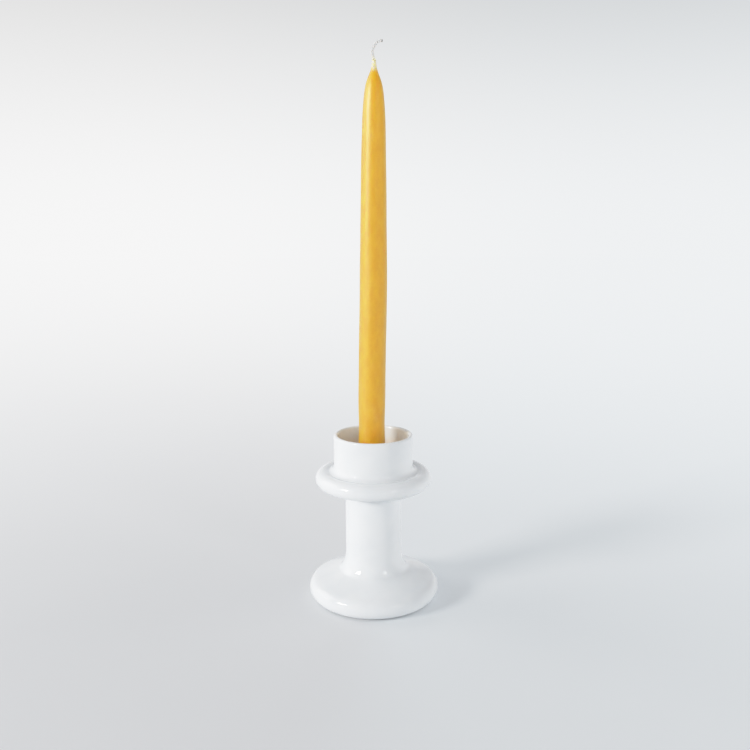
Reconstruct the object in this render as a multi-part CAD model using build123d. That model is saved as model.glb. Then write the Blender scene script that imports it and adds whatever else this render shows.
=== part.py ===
"""White glazed ceramic candlestick holding one dipped beeswax taper.

The candlestick is a body of revolution, fired in one piece: a domed base with a full-round edge,
a straight stem, a full-round collar, and a plain cup with a round lip. The cup is a wide recess,
with a narrower socket for the taper in its floor. The underside is hollow, inside a foot ring.

The frame is +Z up, with the origin at the middle of the foot ring's resting face. Sizes are in mm.
"""
from build123d import *
from math import acos, asin, atan2, cos, degrees, hypot, radians, sin
import os

# Candlestick, outside
HEIGHT = 126.3
BASE_D = 97.2
BASE_EDGE_R = 7.8
STEM_D = 41.9
STEM_FLARE_R = 24.0
STEM_FLARE_Z = 36.2
STEM_FLARE_TURN = 30.0
STEM_FOOT_FILLET_R = 6.0
STEM_TOP_FILLET_R = 5.0
COLLAR_D = 86.0
COLLAR_EDGE_R = 6.3
COLLAR_Z = 93.1
CUP_D = 58.6
COVE_R = 5.0
COVE_END_D = 66.5

# Candlestick, cup and taper socket
CUP_BORE_D = 52.2
RECESS_DEPTH = 18.0
RECESS_FILLET_R = 3.0
SOCKET_D = 22.0
SOCKET_DEPTH = 22.0
SOCKET_MOUTH_R = 1.5
SOCKET_FILLET_R = 2.0

# Candlestick, underside
FOOT_H = 0.8
FOOT_OUTER_D = 78.0
FOOT_INNER_D = 66.0
FOOT_CHAMFER = 0.4
HOLLOW_D = 27.0
HOLLOW_EAVE_Z = 9.0
HOLLOW_THROAT_Z = 20.0
HOLLOW_FILLET_R = 5.0
HOLLOW_CROWN_R = 9.0
SOCKET_FLOOR_T = 7.0

# Taper and wick
TAPER_LENGTH = 300.0
TAPER_D = 19.8
TAPER_HEEL_R = 1.0
TAPER_TIP_D = 2.6
TAPER_SHOULDERS = ((18.9, 0.61), (18.0, 0.74), (16.6, 0.85), (14.2, 0.923), (9.0, 0.965), (4.8, 0.983))
WICK_D = 2.0
WICK_BORE_D = 2.1
WICK_CURL = ((-1.0, 7.5), (0.3, 10.9), (2.6, 13.6), (5.8, 14.9))

SOCKET_FLOOR_Z = HEIGHT - RECESS_DEPTH - SOCKET_DEPTH


def tangent_slope(edge_centre, edge_r, fillet_centre, fillet_r):
    """Slope, in degrees, of the line that passes over the edge circle and under the fillet circle."""
    run = edge_centre[0] - fillet_centre[0]
    rise = fillet_centre[1] - edge_centre[1]
    return degrees(atan2(rise, run) - asin((edge_r + fillet_r) / hypot(run, rise)))


def outside_profile():
    """The outside, from the middle of the underside round to the inner edge of the lip."""
    edge = (BASE_D / 2 - BASE_EDGE_R, FOOT_H + BASE_EDGE_R)
    flare = (STEM_D / 2 + STEM_FLARE_R, STEM_FLARE_Z)
    inset = STEM_FLARE_R - STEM_FOOT_FILLET_R
    turn = radians(STEM_FLARE_TURN)
    foot_fillet = (flare[0] - inset * cos(turn), flare[1] - inset * sin(turn))
    slope = tangent_slope(edge, BASE_EDGE_R, foot_fillet, STEM_FOOT_FILLET_R)
    collar = (COLLAR_D / 2 - COLLAR_EDGE_R, COLLAR_Z)
    collar_under_z = COLLAR_Z - COLLAR_EDGE_R
    top_fillet = (STEM_D / 2 + STEM_TOP_FILLET_R, collar_under_z - STEM_TOP_FILLET_R)
    collar_end = degrees(acos((COVE_END_D / 2 - collar[0]) / COLLAR_EDGE_R))
    groove_z = COLLAR_Z + COLLAR_EDGE_R * sin(radians(collar_end))
    cove_sweep = degrees(acos(1 - (COVE_END_D - CUP_D) / 2 / COVE_R))
    cove = (CUP_D / 2 + COVE_R, groove_z + COVE_R * sin(radians(cove_sweep)))
    lip_r = (CUP_D - CUP_BORE_D) / 4
    lip = (CUP_D / 2 - lip_r, HEIGHT - lip_r)

    base_edge = CenterArc(edge, BASE_EDGE_R, -90, 180 - slope)
    stem_foot = CenterArc(foot_fillet, STEM_FOOT_FILLET_R, -90 - slope, slope + STEM_FLARE_TURN - 90)
    stem_flare = CenterArc(flare, STEM_FLARE_R, 180 + STEM_FLARE_TURN, -STEM_FLARE_TURN)
    stem_top = CenterArc(top_fillet, STEM_TOP_FILLET_R, 180, -90)
    collar_edge = CenterArc(collar, COLLAR_EDGE_R, -90, 90 + collar_end)
    cup_cove = CenterArc(cove, COVE_R, 180 + cove_sweep, -cove_sweep)
    cup_lip = CenterArc(lip, lip_r, 0, 180)
    foot_r = FOOT_OUTER_D / 2
    foot = Polyline(
        (0, 0),
        (foot_r - FOOT_CHAMFER, 0),
        (foot_r, FOOT_CHAMFER),
        (foot_r, FOOT_H),
        base_edge @ 0,
    )
    return [
        foot,
        base_edge,
        Line(base_edge @ 1, stem_foot @ 0),
        stem_foot,
        stem_flare,
        Line(stem_flare @ 1, stem_top @ 0),
        stem_top,
        Line(stem_top @ 1, collar_edge @ 0),
        collar_edge,
        cup_cove,
        Line(cup_cove @ 1, cup_lip @ 0),
        cup_lip,
        Polyline(cup_lip @ 1, (0, HEIGHT - lip_r), (0, 0)),
    ]


def turned(points, rounds):
    """A solid turned about Z from a closed outline of (r, z) points; rounds maps point number to radius."""
    outline = make_face(Polyline(*points, close=True))
    for number, radius in rounds.items():
        corner = Vector(points[number][0], points[number][1])
        vertex = min(outline.vertices(), key=lambda v: (v.center() - corner).length)
        outline = fillet(vertex, radius)
    return revolve(Plane.XZ * outline, Axis.Z)


def cup_void():
    """The recess and the taper socket in its floor."""
    recess_z = HEIGHT - RECESS_DEPTH
    points = [
        (0, HEIGHT + 1),
        (0, SOCKET_FLOOR_Z),
        (SOCKET_D / 2, SOCKET_FLOOR_Z),
        (SOCKET_D / 2, recess_z),
        (CUP_BORE_D / 2, recess_z),
        (CUP_BORE_D / 2, HEIGHT + 1),
    ]
    return turned(points, {2: SOCKET_FILLET_R, 3: SOCKET_MOUTH_R, 4: RECESS_FILLET_R})


def underside_void():
    """The hollow under the base and up the stem, open at the foot ring."""
    crown_z = SOCKET_FLOOR_Z - SOCKET_FLOOR_T
    points = [
        (0, crown_z),
        (0, -1),
        (FOOT_INNER_D / 2, -1),
        (FOOT_INNER_D / 2, HOLLOW_EAVE_Z),
        (HOLLOW_D / 2, HOLLOW_THROAT_Z),
        (HOLLOW_D / 2, crown_z),
    ]
    return turned(points, {3: HOLLOW_FILLET_R, 4: HOLLOW_FILLET_R, 5: HOLLOW_CROWN_R})


def candlestick_body():
    solid = revolve(Plane.XZ * make_face(outside_profile()), Axis.Z)
    return solid - cup_void() - underside_void()


def taper_candle():
    """A dipped taper: straight-sided below, drawing in to a pointed tip where the wick comes out."""
    straight_top = 0.47 * TAPER_LENGTH
    shoulders = [(diameter / 2, share * TAPER_LENGTH) for diameter, share in TAPER_SHOULDERS]
    tip = (TAPER_TIP_D / 2, TAPER_LENGTH)
    heel = CenterArc((TAPER_D / 2 - TAPER_HEEL_R, TAPER_HEEL_R), TAPER_HEEL_R, -90, 90)
    side = Line(heel @ 1, (TAPER_D / 2, straight_top))
    point = Spline([side @ 1, *shoulders, tip], tangents=[(0, 1), (-0.35, 1)])
    floor = Line((WICK_BORE_D / 2, 0), heel @ 0)
    bore = Polyline(tip, (WICK_BORE_D / 2, TAPER_LENGTH), (WICK_BORE_D / 2, 0))
    outline = make_face([floor, heel, side, point, bore])
    return Pos(0, 0, SOCKET_FLOOR_Z) * revolve(Plane.XZ * outline, Axis.Z)


def wick():
    """A round braided cord down the whole taper, which curls over to one side above the tip."""
    curl = [(x, 0, TAPER_LENGTH + z) for x, z in WICK_CURL]
    buried = Line((0, 0, 0), (0, 0, TAPER_LENGTH))
    loose = Spline([(0, 0, TAPER_LENGTH), *curl], tangents=[(0, 0, 1), (1, 0, 0.1)])
    cord = sweep(Circle(WICK_D / 2), path=Wire([buried, loose]))
    return Pos(0, 0, SOCKET_FLOOR_Z) * cord


NODES = {
    "candlestick_body": candlestick_body,
    "taper_candle": taper_candle,
    "wick": wick,
}

os.makedirs("parts", exist_ok=True)
for name, make in NODES.items():
    export_step(make(), f"parts/{name}.step")
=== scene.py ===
"""The looks of a white glazed candlestick with a beeswax taper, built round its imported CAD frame.

The body and the taper are revolved from the CAD nodes' own sections, and the wick is swept to the CAD
wick's top. The taper is then bowed, made uneven, and drawn up into a bead at the wick's root.
All lengths are in metres, in the frame's axes: +Z up, origin in the middle of the foot.
"""
import math

import bmesh
import bpy
import numpy as np
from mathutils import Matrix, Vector, noise


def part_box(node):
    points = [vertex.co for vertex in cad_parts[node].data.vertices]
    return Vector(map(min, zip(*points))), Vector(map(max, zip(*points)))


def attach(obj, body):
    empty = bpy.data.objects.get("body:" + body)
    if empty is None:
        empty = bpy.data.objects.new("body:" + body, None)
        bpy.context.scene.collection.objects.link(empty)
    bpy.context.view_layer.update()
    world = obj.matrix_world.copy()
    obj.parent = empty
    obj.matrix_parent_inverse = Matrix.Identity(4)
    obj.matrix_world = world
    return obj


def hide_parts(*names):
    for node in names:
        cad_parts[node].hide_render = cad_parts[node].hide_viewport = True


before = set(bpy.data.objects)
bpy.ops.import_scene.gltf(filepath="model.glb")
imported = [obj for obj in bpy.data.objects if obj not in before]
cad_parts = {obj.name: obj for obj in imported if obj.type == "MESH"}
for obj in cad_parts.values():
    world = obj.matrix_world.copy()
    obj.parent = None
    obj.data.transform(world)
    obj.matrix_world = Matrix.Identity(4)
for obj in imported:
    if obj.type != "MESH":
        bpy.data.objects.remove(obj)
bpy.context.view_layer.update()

BODY_LOW, BODY_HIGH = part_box("candlestick_body")
WICK_LOW, WICK_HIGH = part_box("wick")
LIP_Z = BODY_HIGH.z
TIP_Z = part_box("taper_candle")[1].z

WELD = 1e-6
MM = 0.001

# Turned meshes
SEGMENTS = 192
STEP = 0.25 * MM
GLAZE_SOFTENING = 0.55 * MM
GLAZE_TURN = math.radians(5)
GLAZE_SPAN = 2.5 * MM
GLAZE_WAVE = 17 * MM
GLAZE_DEPTH = 0.05 * MM
GLAZE_RIPPLE = 0.4
FOOT_LINE_Z = 0.6 * MM
# Painted shade inside the cup: from the first depth below the lip to the second, the glaze is mixed more and
# more, up to this share, towards a warm tan, as shade and light bounced off the wax would colour it
CUP_SHADE_DEPTHS = (6 * MM, 17 * MM)
CUP_SHADE_SHARE = 0.65

# Taper
TAPER_SEGMENTS = 128
TAPER_SPAN = 1.2 * MM
TAPER_SOFTENING = 0.5 * MM
TAPER_HEEL_LEAN = -1.1 * MM
TAPER_BOW = 1.7 * MM
TAPER_BOW_Z = (LIP_Z + 4 * MM, LIP_Z + 128 * MM)
TAPER_TIP_LEAN = 0.9 * MM
WAIST_Z = LIP_Z + 6 * MM
WAIST_HALF = 11 * MM
WAIST_DEPTH = 0.42 * MM
# The bead of wax up the wick's root: shares of the tip's radius, against shares of the bead's height
BEAD_H = 1.9 * MM
BEAD = ((1.35, 0.4), (1.0, 0.85), (0.0, 1.0))
# The unevenness of the wax: how deep, how wide and how tall each kind is, and where its noise starts
SWELL_FULL_R = 8 * MM
SWELLS = {
    "lumps": (0.16 * MM, 9 * MM, 34 * MM, (0, 0, 0)),
    "ripples": (0.06 * MM, 4 * MM, 13 * MM, (7, 3, 1)),
    "runs": (0.035 * MM, 2.2 * MM, 50 * MM, (2, 9, 4)),
    "pits": (0.012 * MM, 1.8 * MM, 1.8 * MM, (5, 5, 5)),
}

# Wick
STRANDS = 3
STRAND_R = 0.46 * MM
BRAID_WIDE = 0.62 * MM
BRAID_DEEP = 0.34 * MM
BRAID_PITCH = 5.2 * MM
STRAND_SIDES = 10
STRAND_END = 0.72
WICK_STEP = 0.35 * MM
WICK_COVERED = 30 * MM
# The curl: sideways in shares of its reach, against up in shares of its rise. The ends only steer it.
CURL = ((0, -0.5), (0, -0.2), (0, 0.08), (-0.22, 0.48), (0.1, 0.74), (0.5, 0.89), (1.12, 0.92), (1.6, 0.89))

# Table, distance and room. The sheet's near tone holds inside TABLE_NEAR, where the foot shades it.
TABLE_R = 7.0
TABLE_FADE_R = 0.87
TABLE_FADE_POWER = 1.9
TABLE_FADE_Y = -0.2
TABLE_NEAR = (0.041, 0.047)
TABLE_GLOW = 0.16
DISTANCE_LEFT = (1.18, 1.18, 1.18)
DISTANCE_RIGHT = (1.0, 1.04, 1.07)
DISTANCE_SIDES = (-0.35, 0.35)
SKY_DIM = 0.52
SKY_TOP = 0.4
GLOW_LEFT = (0.97, 0.99, 1.02)
GLOW_RIGHT = (1.17, 1.29, 1.37)
ROOM_TONE = (1.0, 1.0, 1.02)
ROOM_BRIGHT_SIDE = (-0.2, 0.98, 0)
ROOM_SIDES = (0.45, 0.96)
ROOM_HEIGHTS = (1.0, 0.31)

# Lights, all this far off and aimed at one height: azimuth and elevation as seen from the object, then
# width and height, in degrees; the level that they light a facing surface to; their colour; and whether
# glossy surfaces show them
WINDOW_DISTANCE = 9.0
LIGHT_AIM_Z = 0.7 * LIP_Z
WINDOWS = {
    "window": (59, 19.5, 16, 8, 0.72, (0.97, 0.99, 1.0), True),
    "far_window": (-42, 20, 12, 10, 0.07, (0.97, 0.99, 1.0), True),
    "left_wall": (104, 26, 36, 32, 0.25, (0.98, 0.99, 1.0), True),
    "right_wall": (-84, 14, 50, 34, 0.39, (0.97, 0.99, 1.0), False),
}

# Camera
SENSOR_MM = 36.0
LENS_MM = 38.4
CAMERA_SIDE = 1.8 * MM
CAMERA_BACK = 4.533 * LIP_Z
CAMERA_UP = 2.187 * LIP_Z
CAMERA_DOWN = math.radians(10.48)
CAMERA_ROLL = math.radians(0.2)

# Film: the points between (0, 0) and (FILM_WHITE, 1), of scene light against what shows
FILM_WHITE = 2.0
FILM_CURVE = ((0.3, 0.3), (0.55, 0.555), (0.75, 0.73), (1.0, 0.86), (1.3, 0.945), (1.6, 0.98))

# Colours; a pair is the two ends of a mix
BLACK = (0, 0, 0)
WHITE = (1, 1, 1)
GLAZE_TONES = ((0.845, 0.86, 0.87), (0.80, 0.82, 0.835))
# Painted shade inside the cup, warm as light bounced off the wax
CUP_SHADE_TONE = (0.93, 0.765, 0.615)
CLAY_TONES = ((0.56, 0.47, 0.37), (0.66, 0.58, 0.48))
WAX_TONES = ((0.785, 0.43, 0.003), (0.835, 0.485, 0.008))
WAX_RUN_TONE = (0.93, 0.60, 0.06)
WAX_BLOOM_TONE = (0.94, 0.68, 0.22)
WAX_THIN_TONE = (0.76, 0.66, 0.49)
WAX_GRAIN_TONE = (0.45, 0.22, 0.0)
COTTON_TONES = ((0.68, 0.66, 0.635), (0.79, 0.77, 0.745))
COTTON_WAXED_TONE = (0.84, 0.77, 0.56)
# Painted shade on the wick's cut end
COTTON_END_SHADE_TONE = (0.16, 0.15, 0.14)
TABLE_TONES = ((0.70, 0.705, 0.715), (0.575, 0.58, 0.59))


# ---------------------------------------------------------------- outlines

def section(node):
    """The node's section in the half-plane y = 0, x > 0: a dict of vertex to neighbours, and the bmesh."""
    bm = bmesh.new()
    bm.from_mesh(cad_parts[node].data)
    bmesh.ops.remove_doubles(bm, verts=bm.verts, dist=WELD)
    everything = bm.verts[:] + bm.edges[:] + bm.faces[:]
    cut = bmesh.ops.bisect_plane(bm, geom=everything, dist=WELD, plane_co=(0, 0, 0), plane_no=(0, 1, 0))
    links = {}
    for item in cut["geom_cut"]:
        if isinstance(item, bmesh.types.BMEdge) and all(v.co.x > WELD for v in item.verts):
            a, b = item.verts
            links.setdefault(a, []).append(b)
            links.setdefault(b, []).append(a)
    return links, bm


def body_outline():
    """(r, z) points from the middle of the socket's floor, over lip and foot, to the hollow's crown."""
    links, bm = section("candlestick_body")
    here = max((v for v, near in links.items() if len(near) == 1), key=lambda v: v.co.z)
    chain = [here]
    while True:
        ahead = [v for v in links[here] if v not in chain[-2:]]
        if not ahead:
            break
        here = ahead[0]
        chain.append(here)
    points = [(v.co.x, v.co.z) for v in chain]
    bm.free()
    return np.array([(0, points[0][1])] + points + [(0, points[-1][1])])


def taper_outline():
    """(r, z) points up the outside of the taper, without the bore for the wick."""
    links, bm = section("taper_candle")
    bore = min(v.co.x for v in links)
    points = sorted((v.co.z, v.co.x) for v in links if v.co.x > bore + WELD)
    bm.free()
    return np.array([(0, points[0][0])] + [(r, z) for z, r in points] + [(0, points[-1][0])])


def evened(points, step):
    """The same chain, with points at even steps along it."""
    lengths = np.hypot(*np.diff(points, axis=0).T)
    along = np.concatenate([[0], np.cumsum(lengths)])
    places = np.linspace(0, along[-1], int(along[-1] / step) + 1)
    return np.column_stack([np.interp(places, along, points[:, i]) for i in (0, 1)])


def softened(points, radius, step):
    """The chain with its corners rounded over about radius, as a glaze or a dip of wax rounds them."""
    reach = int(3 * radius / step)
    weights = np.exp(-0.5 * (np.arange(-reach, reach + 1) * step / radius) ** 2)
    weights /= weights.sum()
    mirror = np.array([-1, 1])
    padded = np.vstack([points[reach:0:-1] * mirror, points, points[-2:-reach - 2:-1] * mirror])
    smooth = np.column_stack([np.convolve(padded[:, i], weights, "valid") for i in (0, 1)])
    smooth[0, 0] = smooth[-1, 0] = 0
    return smooth


def thinned(points, turn, span):
    """The chain with only the points that its bends need, and none further apart than span."""
    headings = np.unwrap(np.arctan2(*np.diff(points, axis=0).T[::-1]))
    kept = [0]
    for i in range(1, len(points) - 1):
        bent = abs(headings[i] - headings[kept[-1]]) > turn
        far = np.hypot(*(points[i] - points[kept[-1]])) > span
        if bent or far:
            kept.append(i)
    return points[kept + [len(points) - 1]]


# ---------------------------------------------------------------- meshes

def add_object(name, mesh):
    """A smooth-shaded object of the mesh, with its faces turned outwards."""
    bm = bmesh.new()
    bm.from_mesh(mesh)
    bmesh.ops.recalc_face_normals(bm, faces=bm.faces)
    bm.to_mesh(mesh)
    bm.free()
    for face in mesh.polygons:
        face.use_smooth = True
    obj = bpy.data.objects.new(name, mesh)
    bpy.context.scene.collection.objects.link(obj)
    return obj


def turned(name, outline, segments):
    """A closed mesh turned about Z from (r, z) points that start and end on the axis."""
    rings = outline[1:-1]
    angles = np.arange(segments) * 2 * math.pi / segments
    verts = [(0, 0, outline[0][1])]
    for r, z in rings:
        verts += [(r * math.cos(a), r * math.sin(a), z) for a in angles]
    verts.append((0, 0, outline[-1][1]))
    faces = []
    last = len(verts) - 1
    top = 1 + (len(rings) - 1) * segments
    for i in range(segments):
        j = (i + 1) % segments
        faces.append((0, 1 + i, 1 + j))
        faces.append((last, top + j, top + i))
        for ring in range(len(rings) - 1):
            low = 1 + ring * segments
            high = low + segments
            faces.append((low + i, high + i, high + j, low + j))
    mesh = bpy.data.meshes.new(name)
    mesh.from_pydata(verts, [], faces)
    return add_object(name, mesh)


def smoothstep(low, high, value):
    """0 at low and below, 1 at high and above, and smooth between."""
    t = min(1, max(0, (value - low) / (high - low)))
    return t * t * (3 - 2 * t)


def glazed_body():
    """The fired body, with its glaze softening every corner and standing in faint waves."""
    fine = softened(evened(body_outline(), STEP), GLAZE_SOFTENING, STEP)
    fine[:, 1] = np.maximum(fine[:, 1], BODY_LOW.z)
    outline = thinned(fine, GLAZE_TURN, GLAZE_SPAN)
    obj = turned("glazed_body", outline, SEGMENTS)
    mesh = obj.data

    lip = int(np.argmax(outline[:, 1]))
    widest = int(np.argmax(outline[:, 0]))
    line = next(i for i in range(widest, len(outline)) if outline[i][1] < FOOT_LINE_Z)
    bare = mesh.attributes.new("bare_clay", "FLOAT", "POINT")
    # The bare clay of the foot, and the painted shade that darkens the glaze deeper in the cup
    inside = mesh.attributes.new("cup_painted_shade", "FLOAT", "POINT")
    for v in mesh.vertices:
        ring = 0 if v.index == 0 else 1 + (v.index - 1) // SEGMENTS
        bare.data[v.index].value = 1.0 if ring >= line else 0.0
        inside.data[v.index].value = smoothstep(*CUP_SHADE_DEPTHS, LIP_Z - v.co.z) if ring < lip else 0.0

    normals = [v.normal.copy() for v in mesh.vertices]
    for v, normal in zip(mesh.vertices, normals):
        glazed = 1 - bare.data[v.index].value
        wave = noise.noise(v.co / GLAZE_WAVE)
        wave += GLAZE_RIPPLE * noise.noise(v.co / (GLAZE_RIPPLE * GLAZE_WAVE))
        v.co += normal * wave * GLAZE_DEPTH * glazed
    return obj


def taper_lean(z):
    """How far the taper's middle stands towards +X at height z: its heel is against the socket's -X wall,
    and it bows back over the lip."""
    bow = TAPER_BOW * smoothstep(*TAPER_BOW_Z, z)
    tip = TAPER_TIP_LEAN * max(0, (z - TAPER_BOW_Z[1]) / (TIP_Z - TAPER_BOW_Z[1]))
    return TAPER_HEEL_LEAN + bow + tip


def dipped_taper():
    """The wax: hand-dipped, so faintly lumpy, with slow ripples along it and a slight waist over the lip."""
    sides = taper_outline()[:-1]
    bead = [(sides[-1][0] * wide, TIP_Z + BEAD_H * up) for wide, up in BEAD]
    fine = softened(evened(np.vstack([sides, bead]), STEP), TAPER_SOFTENING, STEP)
    outline = thinned(fine, GLAZE_TURN, TAPER_SPAN)
    obj = turned("dipped_taper", outline, TAPER_SEGMENTS)
    mesh = obj.data
    for v in mesh.vertices:
        radius = math.hypot(v.co.x, v.co.y)
        out = Vector((v.co.x, v.co.y, 0)).normalized()
        share = min(1, radius / SWELL_FULL_R)
        swell = 0
        for depth, wide, tall, start in SWELLS.values():
            place = Vector((v.co.x / wide, v.co.y / wide, v.co.z / tall))
            swell += depth * noise.noise(place + Vector(start))
        waist = WAIST_DEPTH * math.exp(-((v.co.z - WAIST_Z) / WAIST_HALF) ** 2)
        v.co += out * share * (swell - waist)
        v.co.x += taper_lean(v.co.z)
    return obj


def between(a, b, c, d, t):
    """The point at share t of the way from b to c, on a smooth curve that passes a, b, c and d."""
    return 0.5 * (2 * b + (c - a) * t + (2 * a - 5 * b + 4 * c - d) * t * t
                  + (3 * b - 3 * c + d - a) * t ** 3)


def wick_path():
    """Points up the middle of the wick, from inside the wax to the end of its curl."""
    wick_r = (WICK_HIGH.y - WICK_LOW.y) / 2
    rise = WICK_HIGH.z - wick_r - TIP_Z
    root = taper_lean(TIP_Z)
    reach = WICK_HIGH.x - 0.5 * wick_r
    knots = [Vector((root + side * reach, 0, TIP_Z + share * rise)) for side, share in CURL]
    path = []
    for a, b, c, d in zip(knots, knots[1:], knots[2:], knots[3:]):
        steps = max(2, int((c - b).length / WICK_STEP))
        path += [between(a, b, c, d, i / steps) for i in range(steps)]
    buried = int(WICK_COVERED / WICK_STEP)
    down = [path[0] - Vector((0, 0, WICK_STEP * i)) for i in range(buried, 0, -1)]
    return down + path


def across(path, i):
    """Two directions square to the path at its point i, the first of them in the plane y = 0."""
    ahead = (path[min(i + 1, len(path) - 1)] - path[max(i - 1, 0)]).normalized()
    side = ahead.cross(Vector((0, 1, 0))).normalized()
    return side, side.cross(ahead)


def tube(path, radii, sides, verts, faces):
    """Adds a closed tube along path to verts and faces."""
    start = len(verts)
    for i, point in enumerate(path):
        side, up = across(path, i)
        for k in range(sides):
            a = 2 * math.pi * k / sides
            verts.append(point + radii[i] * (math.cos(a) * side + math.sin(a) * up))
    for i in range(len(path) - 1):
        for k in range(sides):
            n = (k + 1) % sides
            low, high = start + i * sides, start + (i + 1) * sides
            faces.append((low + k, low + n, high + n, high + k))
    faces.append(tuple(start + k for k in reversed(range(sides))))
    faces.append(tuple(start + (len(path) - 1) * sides + k for k in range(sides)))


def braided_wick():
    """Three strands laid over each other along the wick's path, drawn in a little at the cut end."""
    path = wick_path()
    verts, faces = [], []
    for strand in range(STRANDS):
        line = []
        length = 0
        for i, point in enumerate(path):
            side, deep = across(path, i)
            phase = 2 * math.pi * (length / BRAID_PITCH + strand / STRANDS)
            line.append(point + side * BRAID_WIDE * math.sin(phase) + deep * BRAID_DEEP * math.sin(2 * phase))
            if i + 1 < len(path):
                length += (path[i + 1] - point).length
        radii = [STRAND_R] * (len(path) - 2) + [STRAND_R * STRAND_END] * 2
        tube(line, radii, STRAND_SIDES, verts, faces)
    mesh = bpy.data.meshes.new("braided_wick")
    mesh.from_pydata(verts, [], faces)
    return add_object("braided_wick", mesh)


# ---------------------------------------------------------------- materials

class Graph:
    """The node graph of a material or a world, with a call for each thing this file does with nodes."""

    def __init__(self, owner, space="Object"):
        owner.use_nodes = True
        self.owner = owner
        self.tree = owner.node_tree
        self.place = self.tree.nodes.new("ShaderNodeTexCoord").outputs[space]

    def put(self, socket, value):
        if isinstance(value, bpy.types.NodeSocket):
            self.tree.links.new(value, socket)
        elif hasattr(value, "__len__") and len(value) == 3 and socket.type == "RGBA":
            socket.default_value = (*value, 1)
        else:
            socket.default_value = value

    def node(self, kind, settings=None, **inputs):
        made = self.tree.nodes.new(kind)
        for key, value in (settings or {}).items():
            setattr(made, key, value)
        for key, value in inputs.items():
            self.put(made.inputs[key.replace("_", " ")], value)
        return made

    def placed(self, operation, vector=(0, 0, 0), output="Vector"):
        """The result of a vector operation on this graph's coordinates and the given vector."""
        made = self.node("ShaderNodeVectorMath", {"operation": operation})
        self.put(made.inputs[0], self.place)
        self.put(made.inputs[1], vector)
        return made.outputs[output]

    def attribute(self, name):
        return self.node("ShaderNodeAttribute", {"attribute_name": name}).outputs["Fac"]

    def noise(self, scale, detail=4, roughness=0.5, stretch=(1, 1, 1)):
        where = self.placed("MULTIPLY", stretch)
        made = self.node("ShaderNodeTexNoise", Vector=where, Scale=scale, Detail=detail, Roughness=roughness)
        return made.outputs["Fac"]

    def ramp(self, value, low, high, out_low=0.0, out_high=1.0):
        """A smooth step from out_low where value is low, to out_high where it is high."""
        made = self.node("ShaderNodeMapRange", {"interpolation_type": "SMOOTHSTEP"}, Value=value)
        for key, number in zip((1, 2, 3, 4), (low, high, out_low, out_high)):
            self.put(made.inputs[key], number)
        return made.outputs[0]

    def mix(self, factor, a, b):
        made = self.node("ShaderNodeMix", {"data_type": "RGBA"})
        self.put(made.inputs[0], factor)
        self.put(made.inputs[6], a)
        self.put(made.inputs[7], b)
        return made.outputs[2]

    def maths(self, operation, a, b):
        made = self.node("ShaderNodeMath", {"operation": operation})
        self.put(made.inputs[0], a)
        self.put(made.inputs[1], b)
        return made.outputs[0]

    def axis(self, letter):
        made = self.node("ShaderNodeSeparateXYZ", Vector=self.place)
        return made.outputs[letter]

    def bump(self, height, distance, strength=1.0, normal=None):
        made = self.node("ShaderNodeBump", Height=height, Distance=distance, Strength=strength)
        if normal:
            self.put(made.inputs["Normal"], normal)
        return made.outputs[0]

    def finish(self, surface="Principled BSDF", **inputs):
        for key, value in inputs.items():
            self.put(self.tree.nodes[surface].inputs[key.replace("_", " ")], value)
        return self.owner


def material_graph(name):
    return Graph(bpy.data.materials.new(name))


def glaze_material():
    """Glossy white glaze, a hair darker in patches and darkened to a warm tan by painted shade deeper inside
    the cup, over a warm bare foot.
    """
    g = material_graph("white_glaze")
    glaze_tone_and_cup_shade = g.mix(g.ramp(g.noise(45, 3), 0.35, 0.7), *GLAZE_TONES)
    # Painted shade: deeper in the cup the white glaze is darkened towards a warm tan
    glaze_tone_and_cup_shade = g.mix(g.maths("MULTIPLY", g.attribute("cup_painted_shade"), CUP_SHADE_SHARE), glaze_tone_and_cup_shade, CUP_SHADE_TONE)
    clay_tone = g.mix(g.ramp(g.noise(900, 5), 0.35, 0.65), *CLAY_TONES)
    bare = g.attribute("bare_clay")
    covered = g.maths("SUBTRACT", 1.0, bare)
    grit = g.noise(2600, 6, 0.7)
    skin = g.bump(g.noise(700, 2), 0.02 * MM, 0.25)
    return g.finish(
        Base_Color=g.mix(bare, glaze_tone_and_cup_shade, clay_tone),
        Roughness=g.ramp(bare, 0, 1, 0.05, 0.85),
        Normal=g.bump(g.maths("MULTIPLY", grit, bare), 0.15 * MM, 0.8, skin),
        Subsurface_Weight=g.maths("MULTIPLY", covered, 0.12),
        Subsurface_Radius=(1.0 * MM, 0.9 * MM, 0.8 * MM),
        Subsurface_Scale=1.0,
    )


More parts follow.
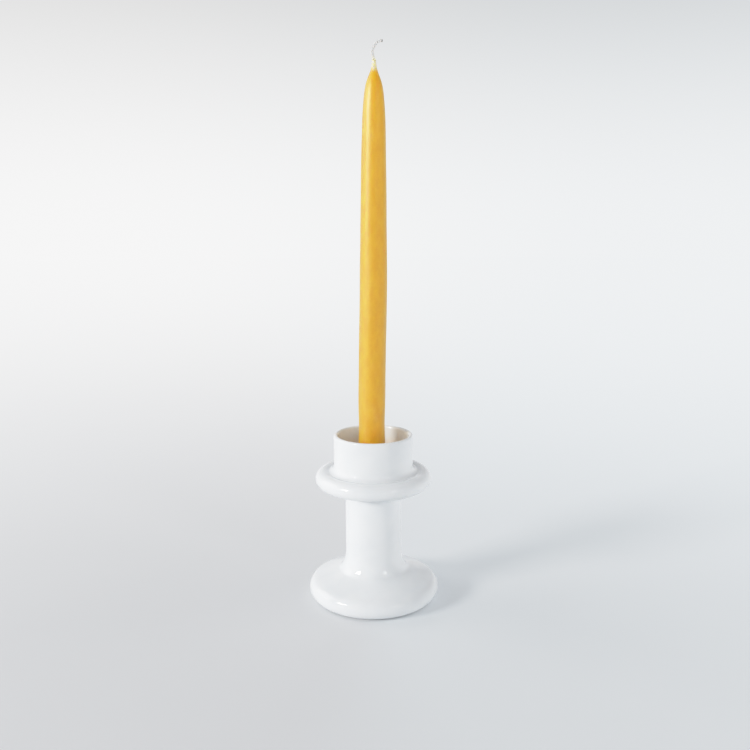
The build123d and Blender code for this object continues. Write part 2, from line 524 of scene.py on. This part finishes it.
def wax_material():
    """Dipped beeswax: golden, translucent, mottled, with paler bloom and faint runs down the length."""
    g = material_graph("beeswax")
    mottle = g.noise(240, 6, 0.62, (1, 1, 0.45))
    tone = g.mix(g.ramp(mottle, 0.36, 0.68), *WAX_TONES)
    runs = g.noise(420, 3, 0.5, (1, 1, 0.035))
    tone = g.mix(g.maths("MULTIPLY", g.ramp(runs, 0.52, 0.72), 0.15), tone, WAX_RUN_TONE)
    bloom = g.noise(60, 5, 0.6, (1, 1, 0.6))
    tone = g.mix(g.maths("MULTIPLY", g.ramp(bloom, 0.54, 0.78), 0.18), tone, WAX_BLOOM_TONE)
    thin = g.ramp(g.axis("Z"), TIP_Z - 7.5 * MM, TIP_Z - 3 * MM)
    tone = g.mix(thin, tone, WAX_THIN_TONE)
    # Painted shade: the wax is darkened towards its edges, where it turns away from the camera
    turned_away = g.node("ShaderNodeLayerWeight", Blend=0.5).outputs["Facing"]
    painted_limb_shade = g.ramp(turned_away, 0.08, 0.8, 1.0, 0.72)
    grain = g.noise(1500, 4, 0.6)
    tone = g.mix(g.ramp(grain, 0.35, 0.65, 0.0, 0.12), tone, WAX_GRAIN_TONE)
    tone = g.mix(painted_limb_shade, BLACK, tone)
    return g.finish(
        Base_Color=tone,
        Roughness=g.ramp(bloom, 0.4, 0.8, 0.40, 0.48),
        Specular_IOR_Level=0.6,
        Coat_Weight=0.65,
        Coat_Roughness=0.5,
        Normal=g.bump(grain, 0.09 * MM, 0.7, g.bump(mottle, 0.12 * MM, 0.4)),
        Subsurface_Weight=1.0,
        Subsurface_Radius=(9.0 * MM, 7.0 * MM, 0.8 * MM),
        Subsurface_Scale=1.0,
    )


def cotton_material():
    """Undyed cotton, with fine twisted fibres, and painted shade that greys its cut end."""
    g = material_graph("cotton_wick")
    fibres = g.noise(5200, 3, 0.6, (1, 1, 0.3))
    tone = g.mix(g.ramp(fibres, 0.3, 0.7), *COTTON_TONES)
    waxed = g.ramp(g.axis("Z"), TIP_Z + 5 * MM, TIP_Z + 1.5 * MM)
    # Painted shade: the wick's cut end is darkened towards grey
    painted_end_shade = g.ramp(g.axis("X"), WICK_HIGH.x + 0.3 * MM, WICK_HIGH.x + 1.3 * MM)
    tone = g.mix(painted_end_shade, tone, COTTON_END_SHADE_TONE)
    return g.finish(
        Base_Color=g.mix(waxed, tone, COTTON_WAXED_TONE),
        Roughness=0.85,
        Normal=g.bump(fibres, 0.12 * MM, 0.9),
        Sheen_Weight=0.3,
        Subsurface_Weight=0.3,
        Subsurface_Radius=(0.6 * MM, 0.5 * MM, 0.4 * MM),
        Subsurface_Scale=1.0,
    )


# ---------------------------------------------------------------- stage, light and camera

def table_material():
    """A white sheet, lit and faintly glowing near the object, that melts into the pale distance."""
    g = material_graph("white_sheet")
    away = g.placed("LENGTH", output="Value")
    veil = g.ramp(away, *TABLE_NEAR)
    out = g.placed("DISTANCE", (0, TABLE_FADE_Y, 0), "Value")
    spread = g.maths("POWER", g.maths("DIVIDE", out, TABLE_FADE_R), TABLE_FADE_POWER)
    far = g.maths("DIVIDE", spread, g.maths("ADD", spread, 1.0))
    tone = g.mix(veil, *TABLE_TONES)
    tone = g.mix(g.ramp(g.noise(2.2, 5, 0.55), 0.3, 0.7, 0, 0.05), tone, WHITE)
    glow = g.maths("MULTIPLY", veil, TABLE_GLOW)
    side = g.ramp(g.maths("DIVIDE", g.axis("X"), away), *DISTANCE_SIDES)
    near_light = g.mix(side, GLOW_LEFT, GLOW_RIGHT)
    far_light = g.mix(side, DISTANCE_LEFT, DISTANCE_RIGHT)
    return g.finish(
        Base_Color=g.mix(far, tone, BLACK),
        Roughness=0.75,
        Specular_IOR_Level=g.ramp(far, 0, 1, 0.2, 0),
        Emission_Color=g.mix(far, near_light, far_light),
        Emission_Strength=g.maths("ADD", far, g.maths("MULTIPLY", g.maths("SUBTRACT", 1.0, far), glow)),
        Normal=g.bump(g.noise(600, 4, 0.6), 0.05 * MM, 0.4),
    )


def table():
    """One wide round sheet to stand on."""
    bm = bmesh.new()
    bmesh.ops.create_circle(bm, cap_ends=True, radius=TABLE_R, segments=SEGMENTS)
    mesh = bpy.data.meshes.new("table")
    bm.to_mesh(mesh)
    bm.free()
    mesh.materials.append(table_material())
    obj = bpy.data.objects.new("table", mesh)
    bpy.context.scene.collection.objects.link(obj)


def window_light(name, azimuth, elevation, wide, high, level, colour, glossy):
    """A window-shaped light, as the WINDOWS table describes it."""
    a, e = math.radians(azimuth), math.radians(elevation)
    towards = Vector((-math.sin(a) * math.cos(e), -math.cos(a) * math.cos(e), math.sin(e)))
    light = bpy.data.lights.new(name, "AREA")
    light.shape = "RECTANGLE"
    light.size = 2 * WINDOW_DISTANCE * math.tan(math.radians(wide / 2))
    light.size_y = 2 * WINDOW_DISTANCE * math.tan(math.radians(high / 2))
    light.energy = level * (math.pi * WINDOW_DISTANCE) ** 2
    light.color = colour
    obj = bpy.data.objects.new(name, light)
    obj.location = Vector((0, 0, LIGHT_AIM_Z)) + towards * WINDOW_DISTANCE
    obj.rotation_euler = towards.to_track_quat("Z", "Y").to_euler()
    obj.visible_camera = False
    obj.visible_glossy = glossy
    bpy.context.scene.collection.objects.link(obj)


def room_light():
    """Soft light from all round, weaker from the ceiling and from behind the camera, over a pale distance."""
    g = Graph(bpy.data.worlds.new("room"), "Generated")
    up = g.axis("Z")
    side = g.ramp(g.placed("DOT_PRODUCT", ROOM_BRIGHT_SIDE, "Value"), -1, 1, *ROOM_SIDES)
    level = g.maths("MULTIPLY", side, g.ramp(up, 0, 1, *ROOM_HEIGHTS))
    lighting = g.mix(level, BLACK, ROOM_TONE)
    distance = g.mix(g.ramp(g.axis("X"), *DISTANCE_SIDES), DISTANCE_LEFT, DISTANCE_RIGHT)
    seen = g.mix(g.ramp(up, 0, SKY_TOP, 0, 1 - SKY_DIM), distance, BLACK)
    eye = g.node("ShaderNodeLightPath").outputs["Is Camera Ray"]
    bpy.context.scene.world = g.finish("Background", Color=g.mix(eye, lighting, seen), Strength=1.0)


def camera():
    """Looks slightly down on the lip from the front, with the stem just left of the middle."""
    lens = bpy.data.cameras.new("camera")
    lens.sensor_width = SENSOR_MM
    lens.lens = LENS_MM
    obj = bpy.data.objects.new("camera", lens)
    obj.location = (CAMERA_SIDE, -CAMERA_BACK, CAMERA_UP)
    obj.rotation_euler = (math.pi / 2 - CAMERA_DOWN, CAMERA_ROLL, 0)
    bpy.context.scene.collection.objects.link(obj)
    bpy.context.scene.camera = obj


def film():
    """Rolls the brightest light off gently, as a camera does, so that lit white glaze keeps its shape."""
    view = bpy.context.scene.view_settings
    view.view_transform = "Standard"
    view.use_curve_mapping = True
    view.curve_mapping.white_level = (FILM_WHITE,) * 3
    combined = view.curve_mapping.curves[3]
    for light, shown in FILM_CURVE:
        combined.points.new(light / FILM_WHITE, shown)
    view.curve_mapping.update()


def dress(piece, body, node, material):
    """Gives the piece its material, and puts it on its body in place of the CAD node."""
    piece.data.materials.append(material)
    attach(piece, body)
    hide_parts(node)


dress(glazed_body(), "candlestick", "candlestick_body", glaze_material())
dress(dipped_taper(), "taper", "taper_candle", wax_material())
dress(braided_wick(), "taper", "wick", cotton_material())

table()
room_light()
for name, window in WINDOWS.items():
    window_light(name, *window)
camera()
film()
